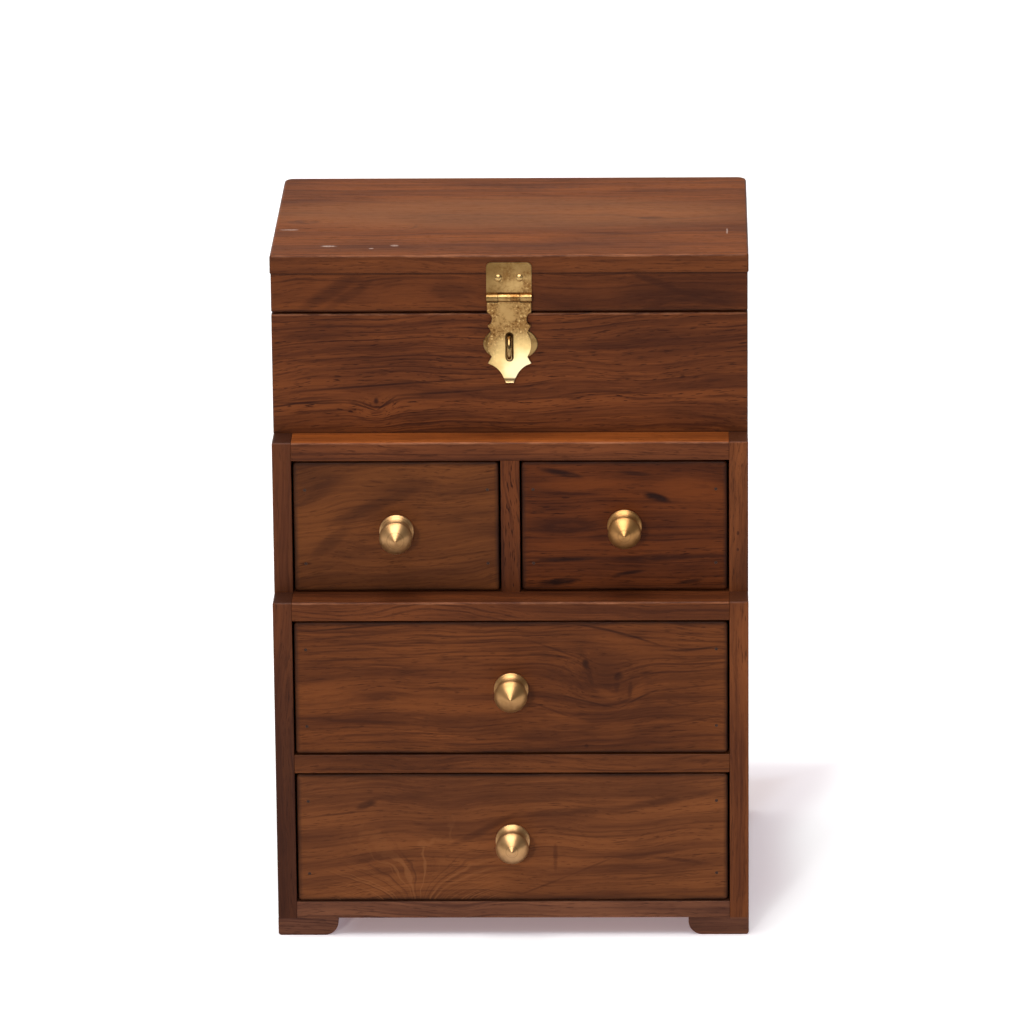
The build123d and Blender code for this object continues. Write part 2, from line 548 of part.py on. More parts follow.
with BuildPart() as hasp_strap:
    shoulder = (STRAP_HALF_W, UPPER_CUSP_DROP - STRAP_SHOULDER_RISE)
    notch = (STRAP_NOTCH_HALF_W, UPPER_CUSP_DROP - STRAP_NOTCH_RISE)
    upper_cusp = (STRAP_CUSP_HALF_W, UPPER_CUSP_DROP)
    disc_top = (STRAP_NECK, STRAP_DISC_DROP - STRAP_NECK_RISE)
    disc_side = (STRAP_DISC_R, STRAP_DISC_DROP)
    disc_low = (STRAP_NECK, STRAP_DISC_DROP + STRAP_NECK_RISE)
    lower_cusp = (STRAP_CUSP_HALF_W, LOWER_CUSP_DROP)
    sweep_mid = (STRAP_SWEEP[0], LOWER_CUSP_DROP + STRAP_SWEEP[1])
    sweep_end = (STRAP_SWEEP_END[0], LOWER_CUSP_DROP + STRAP_SWEEP_END[1])
    tip = (STRAP_TIP[0], TIP_DROP)
    strap_face = Plane(origin=(0, STRAP_BACK_Y, BARREL_BOTTOM_Z), x_dir=(-1, 0, 0), z_dir=(0, -1, 0))
    with BuildSketch(strap_face):
        with BuildLine():
            Line((0, BARREL_CLEAR), (STRAP_HALF_W, BARREL_CLEAR))
            Line((STRAP_HALF_W, BARREL_CLEAR), shoulder)
            ThreePointArc(shoulder, notch, upper_cusp)
            Line(upper_cusp, disc_top)
            ThreePointArc(disc_top, disc_side, disc_low)
            Line(disc_low, lower_cusp)
            ThreePointArc(lower_cusp, sweep_mid, sweep_end)
            Line(sweep_end, tip)
            Line(tip, (0, TIP_DROP))
            mirror(about=Plane.YZ)
        make_face()
        with Locations((0, SLOT_DROP)):
            slot_w = 2 * (STAPLE_WIRE_R + SLOT_SIDE_CLEAR)
            SlotOverall(STAPLE_H + 2 * SLOT_END_CLEAR, slot_w, rotation=90, mode=Mode.SUBTRACT)
    extrude(amount=STRAP_T)
    lean = math.radians(LIP_ANGLE)
    lip_face = Plane(
        origin=(0, STRAP_BACK_Y, BARREL_BOTTOM_Z - TIP_DROP),
        x_dir=(-1, 0, 0),
        z_dir=(0, -math.cos(lean), math.sin(lean)),
    )
    with BuildSketch(lip_face):
        root = STRAP_TIP[0]
        Polygon((-root, 0), (root, 0), (LIP_END_HALF_W, LIP_L), (-LIP_END_HALF_W, LIP_L), align=None)
    extrude(amount=STRAP_T)
    half_knuckle = HASP_MID_KNUCKLE / 2
    slab(
        (-half_knuckle, half_knuckle),
        (STRAP_BACK_Y - STRAP_T, STRAP_BACK_Y),
        (BARREL_BOTTOM_Z - BARREL_CLEAR, STRAP_ROOT_Z),
    )
    rods([(-half_knuckle, HASP_Y, HASP_Z)], (1, 0, 0), HASP_KNUCKLE_R, HASP_MID_KNUCKLE)
    rods([(-HASP_W, HASP_Y, HASP_Z)], (1, 0, 0), HASP_BORE_R, 2 * HASP_W, Mode.SUBTRACT)
save(hasp_strap, "hasp_strap")

# Oval plate under the strap
with BuildPart() as staple_plate:
    disc_z = BARREL_BOTTOM_Z - STRAP_DISC_DROP
    with BuildSketch(Plane(origin=(STAPLE_PLATE_SHIFT, TOP_Y, disc_z), x_dir=(1, 0, 0), z_dir=(0, -1, 0))):
        Ellipse(STAPLE_PLATE_HALF_W, STAPLE_PLATE_HALF_H)
    extrude(amount=STAPLE_PLATE_T)
    fillet(staple_plate.faces().sort_by(Axis.Y)[0].edges(), STAPLE_PLATE_EDGE_R)
    staple_holes()
save(staple_plate, "staple_plate")

# Staple: a bent wire eye driven through the plate and the till front
with BuildPart() as staple:
    bend_r = STAPLE_H / 2 - STAPLE_WIRE_R
    nose_y = TOP_Y - STAPLE_PLATE_T - STAPLE_REACH + STAPLE_WIRE_R
    leg_end_y = TOP_Y + TILL_FRONT_T - STAPLE_END_GAP
    with BuildLine() as wire:
        Line((0, leg_end_y, STAPLE_Z + bend_r), (0, nose_y + bend_r, STAPLE_Z + bend_r))
        ThreePointArc(
            (0, nose_y + bend_r, STAPLE_Z + bend_r),
            (0, nose_y, STAPLE_Z),
            (0, nose_y + bend_r, STAPLE_Z - bend_r),
        )
        Line((0, nose_y + bend_r, STAPLE_Z - bend_r), (0, leg_end_y, STAPLE_Z - bend_r))
    with BuildSketch(Plane(origin=(0, leg_end_y, STAPLE_Z + bend_r), z_dir=(0, -1, 0))):
        Circle(STAPLE_WIRE_R)
    sweep()
save(staple, "staple")


def knob_screw(x, z, face_y, play=0.0, mode=Mode.ADD):
    """Add, or cut the hole of, the screw that holds a knob from inside a drawer's front."""
    rods([(x, face_y + FRONT_T, z)], (0, -1, 0), KNOB_SCREW_R + play, FRONT_T + KNOB_SCREW_BITE, mode)


def knob(x, z, face_y):
    """A turned brass knob: flared base, narrow neck and a head turned to a point, bored for its screw."""
    profile = Plane(origin=(x, face_y, z), x_dir=(1, 0, 0), z_dir=(0, 0, -1))
    with BuildPart() as turned:
        with BuildSketch(profile):
            with BuildLine():
                Line((0, 0), (KNOB_BASE_R, 0))
                Line((KNOB_BASE_R, 0), (KNOB_BASE_R, KNOB_RIM))
                Spline(
                    (KNOB_BASE_R, KNOB_RIM),
                    (KNOB_NECK_R, KNOB_NECK_AT),
                    tangents=KNOB_FLARE,
                )
                Spline(
                    (KNOB_NECK_R, KNOB_NECK_AT),
                    (KNOB_HEAD_R, KNOB_HEAD_AT),
                    tangents=KNOB_UNDERSIDE,
                )
                Spline(
                    (KNOB_HEAD_R, KNOB_HEAD_AT),
                    (0, KNOB_LENGTH),
                    tangents=KNOB_POINT,
                )
                Line((0, KNOB_LENGTH), (0, 0))
            make_face()
        revolve(axis=Axis((x, face_y, z), (0, -1, 0)))
        bore_depth = KNOB_SCREW_BITE + KNOB_BORE_SPARE
        rods([(x, face_y, z)], (0, -1, 0), KNOB_SCREW_R + KNOB_SCREW_PLAY, bore_depth, Mode.SUBTRACT)
    return turned


def drawer(name, mid_x, bay_w, floor_z, bay_h, tier_y, knob_drop):
    """A drawer for one bay: front, two sides, back, bottom panel, knob and fixings."""
    face_y = tier_y + FRONT_RECESS
    inside_y = face_y + FRONT_T
    end_y = INNER_BACK_Y - DRAWER_BACK_GAP
    front_low = floor_z + FRONT_BOTTOM_GAP
    front_top = floor_z + bay_h - FRONT_TOP_GAP
    front_half = bay_w / 2 - FRONT_END_GAP
    side_low = floor_z + DRAWER_RUN_GAP
    side_top = front_top - DRAWER_SIDE_DROP
    outer = front_half - DRAWER_SIDE_INSET
    inner = outer - DRAWER_SIDE_T
    panel_low = side_low + PANEL_LIFT
    panel_top = panel_low + PANEL_T
    groove_z = (panel_low - GROOVE_PLAY, panel_top + GROOVE_PLAY)
    groove_x = (mid_x - inner - GROOVE_DEPTH, mid_x + inner + GROOVE_DEPTH)
    groove_y = (inside_y - GROOVE_DEPTH, end_y)
    knob_z = (front_low + front_top) / 2 - knob_drop
    brads = []
    for side in (-1, 1):
        brad_x = mid_x + side * (inner + outer) / 2
        for brad_z in (front_low + BRAD_EDGE, front_top - BRAD_EDGE):
            brads.append(((brad_x, face_y, brad_z), (0, 1, 0)))
            back_y = end_y - DRAWER_BACK_T / 2
            brads.append(((mid_x + side * outer, back_y, brad_z), (-side, 0, 0)))

    with BuildPart() as front:
        slab((mid_x - front_half, mid_x + front_half), (face_y, inside_y), (front_low, front_top))
        fillet(front.edges().filter_by(Axis.Y), FRONT_CORNER_R)
        fillet(front.faces().sort_by(Axis.Y)[0].edges(), FRONT_EDGE_R)
        slab(groove_x, groove_y, groove_z, Mode.SUBTRACT)
        nail_holes(brads, BRAD_R, BRAD_L)
        knob_screw(mid_x, knob_z, face_y, KNOB_SCREW_PLAY, Mode.SUBTRACT)
    save(front, f"{name}_drawer_front")

    for side_name, side in (("left", -1), ("right", 1)):
        with BuildPart() as wall:
            wall_x = sorted((mid_x + side * inner, mid_x + side * outer))
            slab(wall_x, (inside_y, end_y), (side_low, side_top))
            slab(groove_x, (inside_y, end_y), groove_z, Mode.SUBTRACT)
            nail_holes(brads, BRAD_R, BRAD_L)
        save(wall, f"{name}_drawer_{side_name}_side")

    with BuildPart() as back:
        slab((mid_x - inner, mid_x + inner), (end_y - DRAWER_BACK_T, end_y), (panel_top, side_top))
        nail_holes(brads, BRAD_R, BRAD_L)
    save(back, f"{name}_drawer_back")

    with BuildPart() as panel:
        panel_x = (groove_x[0] + GROOVE_PLAY, groove_x[1] - GROOVE_PLAY)
        slab(panel_x, (groove_y[0] + GROOVE_PLAY, end_y), (panel_low, panel_top))
    save(panel, f"{name}_drawer_bottom")

    turned = knob(mid_x, knob_z, face_y)
    save(turned, f"{name}_drawer_knob")

    with BuildPart() as fixings:
        nails(brads, BRAD_R, BRAD_L)
        knob_screw(mid_x, knob_z, face_y)
        rods([(mid_x, inside_y, knob_z)], (0, 1, 0), KNOB_SCREW_HEAD_R, KNOB_SCREW_HEAD_H)
    save(fixings, f"{name}_drawer_fixings")


# Four drawers
small_x = DIVIDER_T / 2 + SMALL_BAY_W / 2
drawer("left_small", -small_x, SMALL_BAY_W, TOP_FLOOR_Z, TOP_BAY_H, MID_Y, SMALL_LEFT_KNOB_DROP)
drawer("right_small", small_x, SMALL_BAY_W, TOP_FLOOR_Z, TOP_BAY_H, MID_Y, SMALL_RIGHT_KNOB_DROP)
drawer("upper_wide", 0, 2 * INNER_X, MID_FLOOR_Z, MID_BAY_H, FRONT_Y, UPPER_KNOB_DROP)
drawer("lower_wide", 0, 2 * INNER_X, LOW_FLOOR_Z, LOW_BAY_H, FRONT_Y, LOWER_KNOB_DROP)
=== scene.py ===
import math

import bmesh
import bpy
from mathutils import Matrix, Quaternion, Vector
from mathutils.geometry import interpolate_bezier


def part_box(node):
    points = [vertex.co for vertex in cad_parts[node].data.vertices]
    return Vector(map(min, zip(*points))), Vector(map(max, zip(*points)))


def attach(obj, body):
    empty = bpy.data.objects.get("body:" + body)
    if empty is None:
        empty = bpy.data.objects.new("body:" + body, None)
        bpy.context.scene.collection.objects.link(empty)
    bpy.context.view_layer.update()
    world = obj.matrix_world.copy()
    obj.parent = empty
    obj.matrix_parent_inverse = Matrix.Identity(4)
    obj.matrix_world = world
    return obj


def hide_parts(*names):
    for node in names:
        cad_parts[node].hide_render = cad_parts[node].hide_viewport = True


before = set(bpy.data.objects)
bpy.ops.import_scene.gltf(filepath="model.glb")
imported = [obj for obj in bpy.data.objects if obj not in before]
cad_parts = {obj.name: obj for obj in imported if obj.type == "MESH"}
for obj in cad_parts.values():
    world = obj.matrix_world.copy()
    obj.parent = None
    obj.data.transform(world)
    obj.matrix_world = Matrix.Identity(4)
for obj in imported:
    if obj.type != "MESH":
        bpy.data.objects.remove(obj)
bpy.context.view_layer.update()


# Side panels: one wide teak board on each side, sawn to the steps of the three tiers, planed
# and oiled a dark red-brown. The grain stands upright, and the step tops show end grain.
class Wire:
    """An output of a material's nodes. Sums on it add Math nodes, and node() adds any other."""

    def __init__(self, tree, socket):
        self.tree = tree
        self.socket = socket

    def node(self, kind, settings, inputs, output=0):
        made = self.tree.nodes.new(kind)
        for name, value in settings.items():
            setattr(made, name, value)
        for name, value in inputs.items():
            if isinstance(value, Wire):
                self.tree.links.new(value.socket, made.inputs[name])
            else:
                made.inputs[name].default_value = value
        return Wire(self.tree, made.outputs[output])

    def math(self, operation, *others):
        return self.node("ShaderNodeMath", {"operation": operation}, dict(enumerate((self, *others))))

    def __add__(self, other):
        return self.math("ADD", other)

    __radd__ = __add__

    def __sub__(self, other):
        return self.math("SUBTRACT", other)

    def __rsub__(self, other):
        return self.node("ShaderNodeMath", {"operation": "SUBTRACT"}, {0: other, 1: self})

    def __mul__(self, other):
        return self.math("MULTIPLY", other)

    __rmul__ = __mul__

    def __truediv__(self, other):
        return self.math("DIVIDE", other)

    def ramp(self, start, end):
        """0 at start and 1 at end, with a soft rise between them."""
        sockets = {"Value": self, "From Min": start, "From Max": end}
        return self.node("ShaderNodeMapRange", {"interpolation_type": "SMOOTHSTEP"}, sockets)

    def between(self, low, high):
        """The colour that lies this far from low to high."""
        return self.node("ShaderNodeMix", {"data_type": "RGBA"}, {0: self, 6: low, 7: high}, 2)

    def parts(self):
        """The three numbers of a vector."""
        first = self.node("ShaderNodeSeparateXYZ", {}, {0: self})
        return [Wire(self.tree, socket) for socket in first.socket.node.outputs]

    def noise(self, along, across, seed, detail=2.0, rough=0.5):
        """Cloudy noise on a vector, with so many changes a metre along the board and across it."""
        scaled = self.node(
            "ShaderNodeVectorMath", {"operation": "MULTIPLY"}, {0: self, 1: (along, across, across)}
        )
        sockets = {"Vector": scaled, "W": seed, "Scale": 1.0, "Detail": detail, "Roughness": rough}
        return self.node("ShaderNodeTexNoise", {"noise_dimensions": "4D"}, sockets)

    def layers(self, per_metre, seed, detail):
        """Noise that changes along a single number only."""
        sockets = {"W": self * per_metre + seed, "Scale": 1.0, "Detail": detail}
        return self.node("ShaderNodeTexNoise", {"noise_dimensions": "1D"}, sockets)

    def into(self, shader, socket):
        self.tree.links.new(self.socket, shader.inputs[socket])


def tone(red, green, blue):
    """A colour as a screen shows it, 0 to 255, in the linear values that a shader takes."""
    linear = [((c / 255 + 0.055) / 1.055) ** 2.4 if c > 10 else c / 3294.6 for c in (red, green, blue)]
    return (*linear, 1.0)


def new_finish(name, constants):
    """A material with its shader's constant sockets set, and its Texture Coordinate node."""
    finish = bpy.data.materials.new(name)
    finish.use_nodes = True
    shader = finish.node_tree.nodes["Principled BSDF"]
    for socket, value in constants.items():
        shader.inputs[socket].default_value = value
    return finish, shader, finish.node_tree.nodes.new("ShaderNodeTexCoord")


def dress(node, finish):
    """Give a CAD node this finish and no other."""
    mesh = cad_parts[node].data
    mesh.materials.clear()
    mesh.materials.append(finish)


GRAIN_TURN = {"X": (0, 0, 0), "Y": (0, 0, math.pi / 2), "Z": (0, -math.pi / 2, 0)}
GRAIN_ORDER = {"X": (0, 1, 2), "Y": (1, 0, 2), "Z": (2, 1, 0)}
GAP_OIL_AND_SHADE = tone(36, 17, 9)
RUBBED_AND_HIGHLIGHT = tone(190, 122, 82)


def from_middle(along, across, mark_along, mark_across, reach_along, reach_across):
    """Squared distance from a mark's middle, 1 at its edge. The mark is given in millimetres."""
    out = (along - mark_along / 1000) * (1000 / reach_along)
    over = (across - mark_across / 1000) * (1000 / reach_across)
    return out * out + over * over


def oiled(red, green, blue):
    """The tones of a board whose oiled wood has this colour on the whole."""
    body = tone(red, green, blue)
    shades = {
        "deep": (0.7, 0.68, 0.72),
        "pale": (1.85, 1.95, 1.7),
        "dark": (0.4, 0.38, 0.46),
        "pore": (0.2, 0.2, 0.3),
        "end": (0.64, 0.66, 0.76),
    }
    return {name: (*(b * f for b, f in zip(body, factors)), 1.0) for name, factors in shades.items()}


def wood(
    node,
    tones,
    seed,
    pith,
    grain="X",
    tilt=0.0,
    wander=0.03,
    dips=(),
    lines=0.6,
    fibres=0.55,
    pores=0.6,
    figure=(),
    up=None,
    up_reach=1.0,
    edge_reach=0.0,
    wear_and_highlight=0.0,
    grime_and_shade=(),
    gloss=0.0,
    marks=None,
):
    """Oiled board: growth bands round a pith beside the board, fibres, open pores, figure and wear, with
    painted light on tops and nosings and painted shade beside gaps.

    Figure holds rows of tone, place along and across, reach along and across, slope, bend and
    amount. Dips hold rows of place, reach and lift. Both count millimetres from the board's middle.
    Rows of grime and painted shade hold axis, end, reach in metres and amount: darker wood beside gaps and
    seams.
    """
    low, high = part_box(node)
    middle = (low + high) / 2
    half = [((high - low) / 2)[axis] for axis in GRAIN_ORDER[grain]]
    finish, shader, coordinates = new_finish(node + "_wood", {"Specular IOR Level": 0.1})
    place = Wire(finish.node_tree, coordinates.outputs["Object"])
    facing = Wire(finish.node_tree, coordinates.outputs["Normal"]).parts()
    local = place.node(
        "ShaderNodeMapping",
        {"vector_type": "TEXTURE"},
        {"Vector": place, "Location": middle, "Rotation": GRAIN_TURN[grain]},
    )
    along, depth, across = local.parts()

    # The fibres sway along the board, and dip where a branch grew.
    sway = (local.noise(5.0, 9.0, seed) - 0.5) * wander
    sway = sway + (local.noise(16.0, 34.0, seed + 2.0) - 0.5) * (wander * 0.28)
    for *dip, lift in dips:
        sway = sway + (from_middle(along, across, *dip) * -1.0).math("EXPONENT") * (lift / 1000)
    bent_across = across + sway - along * tilt
    bent = local.node("ShaderNodeCombineXYZ", {}, {0: along, 1: depth + sway * 0.6, 2: bent_across})

    # Growth bands and thin dark lines, both of uneven width, fade in and out along the board.
    from_pith = depth + sway * 0.6 - pith[0]
    over_pith = bent_across - pith[1]
    growth = (from_pith * from_pith + over_pith * over_pith).math("SQRT")
    band = growth.layers(130.0, seed, 2.0).ramp(0.3, 0.7)
    fade = local.noise(13.0, 60.0, seed + 4.0).ramp(0.34, 0.6)
    line = growth.layers(760.0, seed + 5.0, 3.0).ramp(0.53, 0.67) * fade

    # Soft clouds, fine fibres and open pores lie over them.
    cloud = local.noise(11.0, 34.0, seed + 6.0, 3.0).ramp(0.3, 0.7)
    fibre = bent.noise(24.0, 640.0, seed + 8.0, 4.0, 0.62)
    pore = bent.noise(150.0, 1700.0, seed + 10.0, 1.0).ramp(0.58, 0.7) * (band * 0.5 + 0.5)
    ragged = bent.noise(60.0, 420.0, seed + 12.0, 3.0, 0.6)
    broken = ragged.ramp(0.3, 0.56) * 0.6 + 0.4

    colour = (cloud * 0.55 + band * 0.4).between(tones["deep"], tones["pale"])
    colour = (line * lines).between(colour, tones["dark"])
    colour = (fibre.ramp(0.47, 0.7) * fibres).between(colour, tones["dark"])
    colour = (fibre.ramp(0.48, 0.28) * (fibres * 0.8)).between(colour, tones["pale"])
    colour = (pore * pores).between(colour, tones["pore"])
    for shade, mark_along, mark_across, reach_along, reach_across, slope, bend, amount in figure:
        out = (along - mark_along / 1000) * (1000 / reach_along)
        over = across + sway * 0.12 - along * slope - (mark_across - mark_along * slope) / 1000
        if bend:
            over = over - out * out * (bend / 1000)
        over = over * (1000 / reach_across)
        spot = (out * out + over * over + (ragged - 0.5) * 1.6).ramp(1.1, 0.0) * broken * amount
        colour = spot.between(colour, tones[shade])

    # End grain drinks the oil and is darker. Exposed upward faces are tinted paler with painted light from
    # above.
    end = facing["XYZ".index(grain)].math("ABSOLUTE").ramp(0.55, 0.9)
    colour = (end * 0.75).between(colour, tones["end"])
    if up:
        lit_top = facing[2].ramp(0.55, 0.95) * (depth + half[1]).ramp(1.1 * up_reach, up_reach)
        top_light_tint = {0: lit_top, 6: colour, 7: (*up, 1.0)}
        colour = along.node("ShaderNodeMix", {"data_type": "RGBA", "blend_type": "MULTIPLY"}, top_light_tint, 2)
    # Painted shade, with some oil: the wood darkens within this reach of its edges, beside the gaps round
    # it.
    if edge_reach:
        gaps = [reach - part.math("ABSOLUTE") for reach, part in zip(half, (along, depth, across))]
        nearest = gaps[0].math("MINIMUM", gaps[1]).math("MINIMUM", gaps[2])
        farthest = gaps[0].math("MAXIMUM", gaps[1]).math("MAXIMUM", gaps[2])
        to_edge = gaps[0] + gaps[1] + gaps[2] - nearest - farthest
        uneven = local.noise(40.0, 40.0, seed + 14.0).ramp(0.2, 0.7) * 0.5 + 0.5
        colour = (to_edge.ramp(edge_reach, 0.0) * uneven).between(colour, GAP_OIL_AND_SHADE)
    # Painted shade, with some oil: darker toward the listed ends, beside gaps and seams.
    for axis, side, reach, amount in grime_and_shade:
        gap = half[axis] - (along, depth, across)[axis] * side
        beside = facing[GRAIN_ORDER[grain][axis]].math("ABSOLUTE").ramp(0.95, 0.6)
        colour = (gap.ramp(reach, 0.0) * beside * amount).between(colour, GAP_OIL_AND_SHADE)
    # Rounded front nosings are paler: partly rubbed wear, partly a painted highlight where the rounding
    # catches light.
    if wear_and_highlight:
        nose = (depth + half[1] + half[2] - across).ramp(0.98 * wear_and_highlight, 0.7 * wear_and_highlight)
        kept = local.noise(50.0, 300.0, seed + 16.0, 4.0, 0.7).ramp(0.4, 0.7)
        colour = (nose * kept * 0.45).between(colour, RUBBED_AND_HIGHLIGHT)
    if marks:
        colour = marks(local, along, depth, across, colour)

    colour.into(shader, "Base Color")
    (fibre * 0.16 + pore * 0.15 + (0.4 - gloss)).into(shader, "Roughness")
    height = fibre * 0.35 - pore - line * 0.4
    bump = height.node("ShaderNodeBump", {}, {"Strength": 0.3, "Distance": 0.0003, "Height": height})
    bump.into(shader, "Normal")
    dress(node, finish)


panel_low, panel_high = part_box("left_side_panel")
PANEL_HALF_DEPTH = (panel_high.y - panel_low.y) / 2


def darker_low_front_edge(local, along, depth, across, colour):
    """Darkens the lower front edge of the left panel."""
    low = (depth + PANEL_HALF_DEPTH).ramp(0.0012, 0.0004) * along.ramp(0.02, -0.06)
    return (low * 0.42).between(colour, tone(52, 28, 20))


wood(
    "left_side_panel",
    oiled(80, 41, 23),
    seed=11.0,
    pith=(0.02, 0.2),
    grain="Z",
    lines=0.4,
    figure=(("dark", -95, 0, 110, 60, 0, 0, 0.35), ("pale", 70, 0, 90, 60, 0, 0, 0.22)),
    marks=darker_low_front_edge,
)
wood(
    "right_side_panel",
    oiled(100, 53, 28),
    seed=23.0,
    pith=(-0.01, 0.21),
    grain="Z",
    lines=0.4,
    figure=(("pore", 46, 0.5, 1.4, 0.9, 0, 0, 0.95), ("pore", 37, 0.5, 1.1, 0.8, 0, 0, 0.9)),
)


# Level boards: the bottom, the shelf and the two ledge boards run between the side panels and are nailed
# through them. The front edges of the ledges are rounded and rubbed paler by hands, with a painted
# highlight along them, and the open ledge tops are tinted with painted light from above.
# The bottom board's paler, greyer tone is partly painted sheen from the white floor.
wood("bottom_board", oiled(97, 58, 42), seed=31.0, pith=(0.12, 0.15))
wood("drawer_shelf", oiled(88, 46, 23), seed=37.0, pith=(0.1, -0.17))
wood(
    "lower_ledge_board",
    oiled(90, 46, 23),
    seed=41.0,
    pith=(0.11, 0.14),
    up=(1.05, 0.97, 0.88),
    up_reach=0.02,
    wear_and_highlight=0.0013,
)
wood(
    "upper_ledge_board",
    oiled(89, 46, 25),
    seed=47.0,
    pith=(0.1, -0.16),
    up=(2.6, 2.3, 1.25),
    up_reach=0.02,
    wear_and_highlight=0.0013,
)

# Divider: a short upright board that parts the two small drawers and carries the upper ledge.
# It is housed between the ledge boards, with its grain upright.
wood("drawer_divider", oiled(83, 41, 20), seed=53.0, pith=(0.08, 0.13), grain="Z", pores=1.0)

# Till front: a single board planted over the front edges of the side panels, glued and nailed.
# Its grain rises gently to the right, with many open pores.
wood(
    "till_front_board",
    oiled(93, 47, 22),
    seed=59.0,
    pith=(0.03, -0.25),
    tilt=0.05,
    dips=((-70, -19, 9, 8, 5),),
    lines=0.85,
    fibres=0.75,
    pores=1.0,
    figure=(
        ("pale", -66, -12, 26, 4, 0.07, 0, 0.45),
        ("pale", -25, -6, 26, 3, 0.07, 0, 0.4),
        ("pale", 70, -22, 40, 8, 0, 0, 0.25),
        ("dark", -100, 24, 30, 8, 0.1, 0, 0.4),
        ("dark", 70, 22, 56, 12, 0, 0, 0.5),
        ("pore", -64, -6.6, 64, 0.8, 0.075, 0, 0.85),
        ("pore", -103, -16.6, 24, 0.8, 0, 0.6, 0.8),
        ("pore", -77, -18.2, 9, 0.7, -0.25, -0.6, 0.8),
        ("pore", -65.5, -16.4, 6.5, 0.8, 0.7, -0.6, 0.8),
        ("pore", -33, -10.6, 32, 0.9, 0.074, 0, 0.85),
        ("dark", -96, -20.6, 22, 0.6, 0.03, 0, 0.6),
        ("dark", -60, 9, 50, 0.6, 0.09, 0, 0.6),
        ("dark", -70, 3, 50, 0.5, 0.08, 0, 0.5),
        ("dark", 30, -13, 60, 0.8, 0.06, 0, 0.7),
        ("dark", -40, -24, 40, 0.7, 0.05, 0, 0.5),
        ("pore", -70.5, -15, 1.7, 2, 0, 0, 0.9),
    ),
    # The top arris gets a painted highlight under the lid gap, and the long edges get painted shade beside
    # the gaps.
    wear_and_highlight=0.0012,
    grime_and_shade=((2, 1, 0.0007, 0.8), (2, -1, 0.0015, 0.6)),
)

# Back panel: a plain board let in between the side panels and nailed through them.
# It is the least finished face of the chest.
wood("back_panel", oiled(90, 46, 23), seed=61.0, pith=(0.2, 0.15), grain="Z", lines=0.4)

# Feet: four small blocks, rounded off at their inner ends and nailed up into the bottom.
# Their grain runs across the front like the boards above.
# Their paler, greyer tone is partly painted sheen from the white floor.
for number, foot in enumerate(("front_left_foot", "front_right_foot", "rear_left_foot", "rear_right_foot")):
    wood(foot, oiled(83, 49, 37), seed=67.0 + 3.0 * number, pith=(0.05, 0.14))


# Nails: thin steel nails punched just below the surface, dulled and darkened by the oil.
# The same steel makes the brads of the drawers and the screws of the knobs.
def nail_steel():
    """Steel with soft brown stains."""
    finish, shader, coordinates = new_finish("dull_nail_steel", {"Metallic": 0.6})
    place = Wire(finish.node_tree, coordinates.outputs["Object"])
    stain = place.noise(900.0, 900.0, 1.0, 3.0)
    stain.ramp(0.3, 0.7).between(tone(44, 28, 20), tone(72, 50, 38)).into(shader, "Base Color")
    (stain * 0.3 + 0.4).into(shader, "Roughness")
    return finish


NAIL_STEEL = nail_steel()
dress("case_nails", NAIL_STEEL)


# Staple: a bent brass wire whose legs pass through an oval brass plate and the till front. The
# brass is cut and filed by hand, lacquered once and now lightly tarnished, with soft brown stains.
# The plate shows at both sides of the strap.
TARNISHED = tone(124, 87, 46)
POLISHED = tone(240, 206, 138)
STAINED = tone(92, 60, 30)
# Dark oily brass; behind the strap's slot it stands for painted shade.
OIL_DARK_AND_SHADE = tone(58, 36, 18)
PLATE_EDGE = 0.00012
WIRE_EDGE = 0.0001


def sheet_brass(name, seed, bright=(0.1, 0.4), stains=0.5, dull=TARNISHED, rough=0.34, wear=None):
    """Sheet or wire: patches more or less tarnished, specks of stain, and the marks of its own piece: wear,
    painted highlights and painted shade.
    """
    finish, shader, coordinates = new_finish(name, {"Metallic": 1.0})
    place = Wire(finish.node_tree, coordinates.outputs["Object"])
    patch = place.noise(110.0, 110.0, seed, 3.0, 0.55)
    speck = place.noise(700.0, 700.0, seed + 3.0, 3.0, 0.65)
    clean = patch.ramp(0.3, 0.7) * (bright[1] - bright[0]) + bright[0]
    colour = clean.between(dull, POLISHED)
    soiled = speck.ramp(0.5, 0.62) * patch.ramp(0.66, 0.44) * stains
    colour = soiled.between(colour, STAINED)
    colour = (speck.ramp(0.44, 0.34) * patch.ramp(0.62, 0.42) * (stains * 0.6)).between(colour, POLISHED)
    if wear:
        colour = wear(place, patch, colour)
    colour.into(shader, "Base Color")
    (speck * 0.12 + (rough - 0.03)).into(shader, "Roughness")
    height = patch * 1.2 + speck * 0.3
    bump = height.node("ShaderNodeBump", {}, {"Strength": 0.18, "Distance": 0.0004, "Height": height})
    bump.into(shader, "Normal")
    return finish


def round_over(mesh, width):
    """Round the sharp edges of a mesh, as a file or a buffing wheel does."""
    sharp = [e for e in mesh.edges if len(e.link_faces) == 2 and e.calc_face_angle() > math.radians(40)]
    bmesh.ops.bevel(
        mesh,
        geom=sharp,
        offset=width,
        offset_type="OFFSET",
        affect="EDGES",
        segments=2,
        profile=0.5,
        material=-1,
        clamp_overlap=True,
    )


def fit_over(mesh, name, node, body, finish):
    """Put a finished brass mesh in a CAD node's place, shaded evenly across its rounded edges."""
    for face in mesh.faces:
        face.smooth = True
    data = bpy.data.meshes.new(name)
    mesh.to_mesh(data)
    mesh.free()
    data.materials.append(finish)
    piece = bpy.data.objects.new(name, data)
    bpy.context.scene.collection.objects.link(piece)
    level = piece.modifiers.new("even_shading", "WEIGHTED_NORMAL")
    level.keep_sharp = True
    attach(piece, body)
    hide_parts(node)


